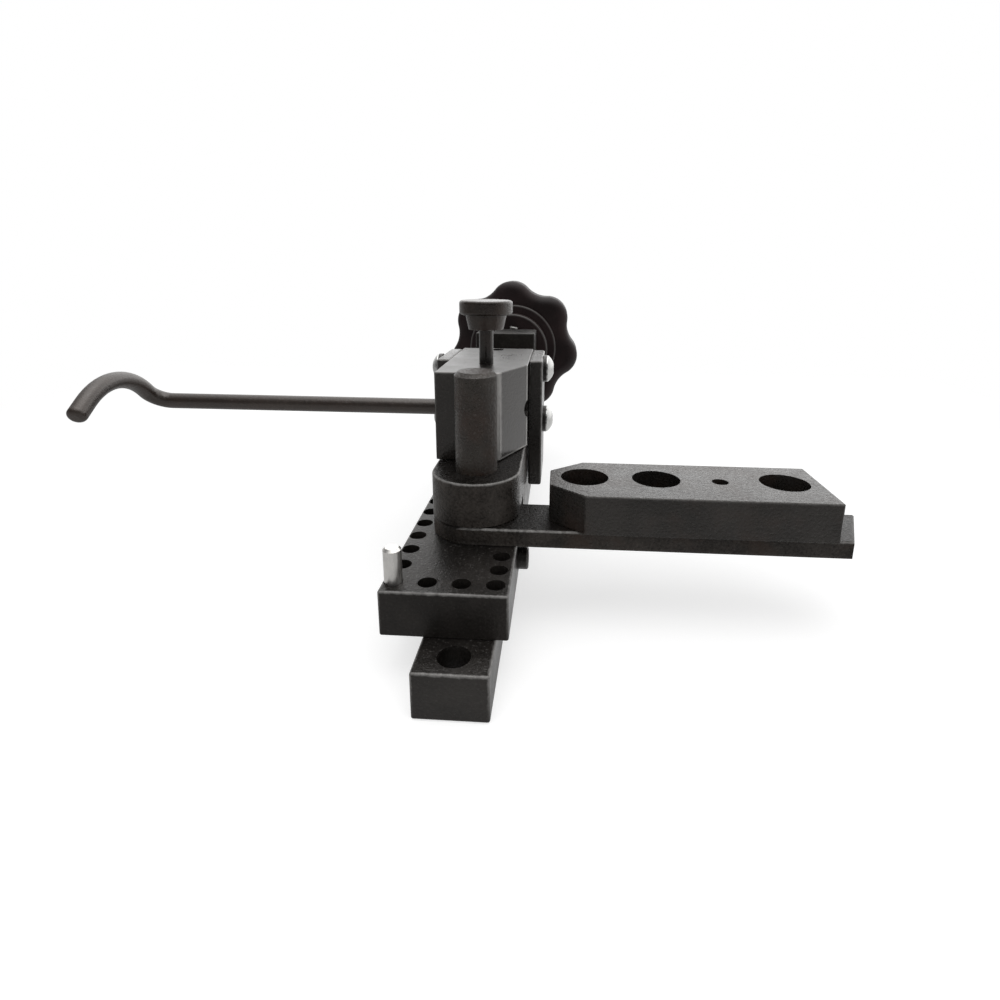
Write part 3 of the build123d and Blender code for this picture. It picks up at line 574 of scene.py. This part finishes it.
def threaded_screw(finish):
    """The feed screw with its real thread, in the space of the plain solid."""
    low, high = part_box("feed_screw")
    rings = [
        (low.y, [journal_radius - journal_chamfer] * screw_sides),
        (low.y + journal_chamfer, [journal_radius] * screw_sides),
        (shoulder_place, [journal_radius] * screw_sides),
    ]
    count = int((high.y - shoulder_place) / thread_pitch * steps_per_turn)
    for step in range(count + 1):
        y = shoulder_place + (high.y - shoulder_place) * step / count
        rings.append((y, [thread_radius(y, side / screw_sides) for side in range(screw_sides)]))
    verts = []
    for y, radii in rings:
        for side, radius in enumerate(radii):
            angle = 2 * pi * side / screw_sides
            verts.append((radius * sin(angle), y, feed_height + radius * cos(angle)))
    last = len(verts) - screw_sides
    faces = []
    for start in range(0, last, screw_sides):
        after = start + screw_sides
        for side in range(screw_sides):
            beside = (side + 1) % screw_sides
            faces.append((start + side, start + beside, after + beside, after + side))
    faces.append(tuple(range(screw_sides)))
    faces.append(tuple(reversed(range(last, len(verts)))))
    mesh = bpy.data.meshes.new("feed_thread")
    mesh.from_pydata(verts, [], faces)
    mesh.shade_smooth()
    mesh.materials.append(finish)
    made = bpy.data.objects.new("feed_thread", mesh)
    scene.collection.objects.link(made)
    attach(made, "feed")
    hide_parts("feed_screw")


def floor_paint():
    """Pale and shadowed near the object, and plain white away from it."""
    low, high = cad_box
    paint = bpy.data.materials.new("floor")
    paint.use_nodes = True
    nodes = Nodes(paint.node_tree)
    x, y, _ = nodes.axes(nodes.add("ShaderNodeNewGeometry").outputs["Position"])
    side = nodes.math("MAXIMUM", nodes.math("SUBTRACT", x, high.x), nodes.math("SUBTRACT", low.x, x))
    depth = nodes.math("MAXIMUM", nodes.math("SUBTRACT", y, high.y), nodes.math("SUBTRACT", low.y, y))
    fade = nodes.span(nodes.math("MAXIMUM", side, depth), *fade_band)
    mirrored = nodes.math("MULTIPLY", nodes.span(y, *mirror_depth), nodes.span(x, *mirror_side))
    path = nodes.add("ShaderNodeLightPath")
    seen = nodes.math("MULTIPLY", path.outputs["Is Glossy Ray"], mirrored)
    seen = nodes.math("MAXIMUM", seen, path.outputs["Is Camera Ray"])
    seen = nodes.math("MAXIMUM", seen, path.outputs["Is Transmission Ray"])
    base = nodes.add("ShaderNodeBsdfDiffuse", Color=solid((floor_colour, floor_colour, floor_colour)))
    glow = nodes.add("ShaderNodeEmission", Strength=nodes.math("MULTIPLY", seen, floor_glow))
    near = nodes.add("ShaderNodeAddShader")
    nodes.put(near, "0", base.outputs[0])
    nodes.put(near, "1", glow.outputs[0])
    white = nodes.add("ShaderNodeEmission")
    both = nodes.add("ShaderNodeMixShader")
    nodes.put(both, "0", nodes.math("MULTIPLY", fade, seen))
    nodes.put(both, "1", near.outputs[0])
    nodes.put(both, "2", white.outputs[0])
    nodes.add("ShaderNodeOutputMaterial", Surface=both.outputs[0])
    return paint


def floor():
    """A pale floor that holds the object's shadow."""
    corners = [(-1, -1), (1, -1), (1, 1), (-1, 1)]
    mesh = bpy.data.meshes.new("floor")
    mesh.from_pydata([(x * floor_reach, y * floor_reach, 0.0) for x, y in corners], [], [(0, 1, 2, 3)])
    mesh.materials.append(floor_paint())
    made = bpy.data.objects.new("floor", mesh)
    made.location.z = cad_box[0].z - floor_gap
    scene.collection.objects.link(made)


def studio():
    """A white background, a surround that gloss mirrors, a soft fill and one large soft key light."""
    world = bpy.data.worlds.new("studio")
    world.use_nodes = True
    scene.world = world
    nodes = Nodes(world.node_tree)
    x, y, z = nodes.axes(nodes.add("ShaderNodeTexCoord").outputs["Generated"])
    backward = nodes.math("ADD", y, nodes.math("MULTIPLY", x, back_turn))
    depth = nodes.span(backward, *back_band, front_light, back_light)
    rise = nodes.math("ADD", x, z)
    surround = nodes.math("MULTIPLY", depth, nodes.span(rise, *left_band, left_share, 1.0))
    surround = nodes.math("ADD", surround, nodes.span(z, *top_band, 0.0, top_light))
    path = nodes.add("ShaderNodeLightPath")
    shiny = nodes.math("MAXIMUM", path.outputs["Is Glossy Ray"], path.outputs["Is Transmission Ray"])
    fill = nodes.span(y, *fill_band, fill_front, fill_back)
    more = nodes.math("MULTIPLY", shiny, nodes.math("SUBTRACT", surround, fill))
    lit = nodes.math("MAXIMUM", nodes.math("ADD", more, fill), path.outputs["Is Camera Ray"])
    back = nodes.add("ShaderNodeBackground", Color=solid((1.0, 1.0, 1.0)), Strength=lit)
    nodes.add("ShaderNodeOutputWorld", Surface=back.outputs[0])
    light = bpy.data.lights.new("key", "AREA")
    light.size = key_size
    light.energy = key_power
    lamp = bpy.data.objects.new("key", light)
    lamp.location = key_place
    lamp.rotation_euler = (Vector(key_aim) - Vector(key_place)).to_track_quat("-Z", "Y").to_euler()
    scene.collection.objects.link(lamp)


camera()
studio()
floor()
turned_steel = paint_nodes()
threaded_screw(turned_steel)
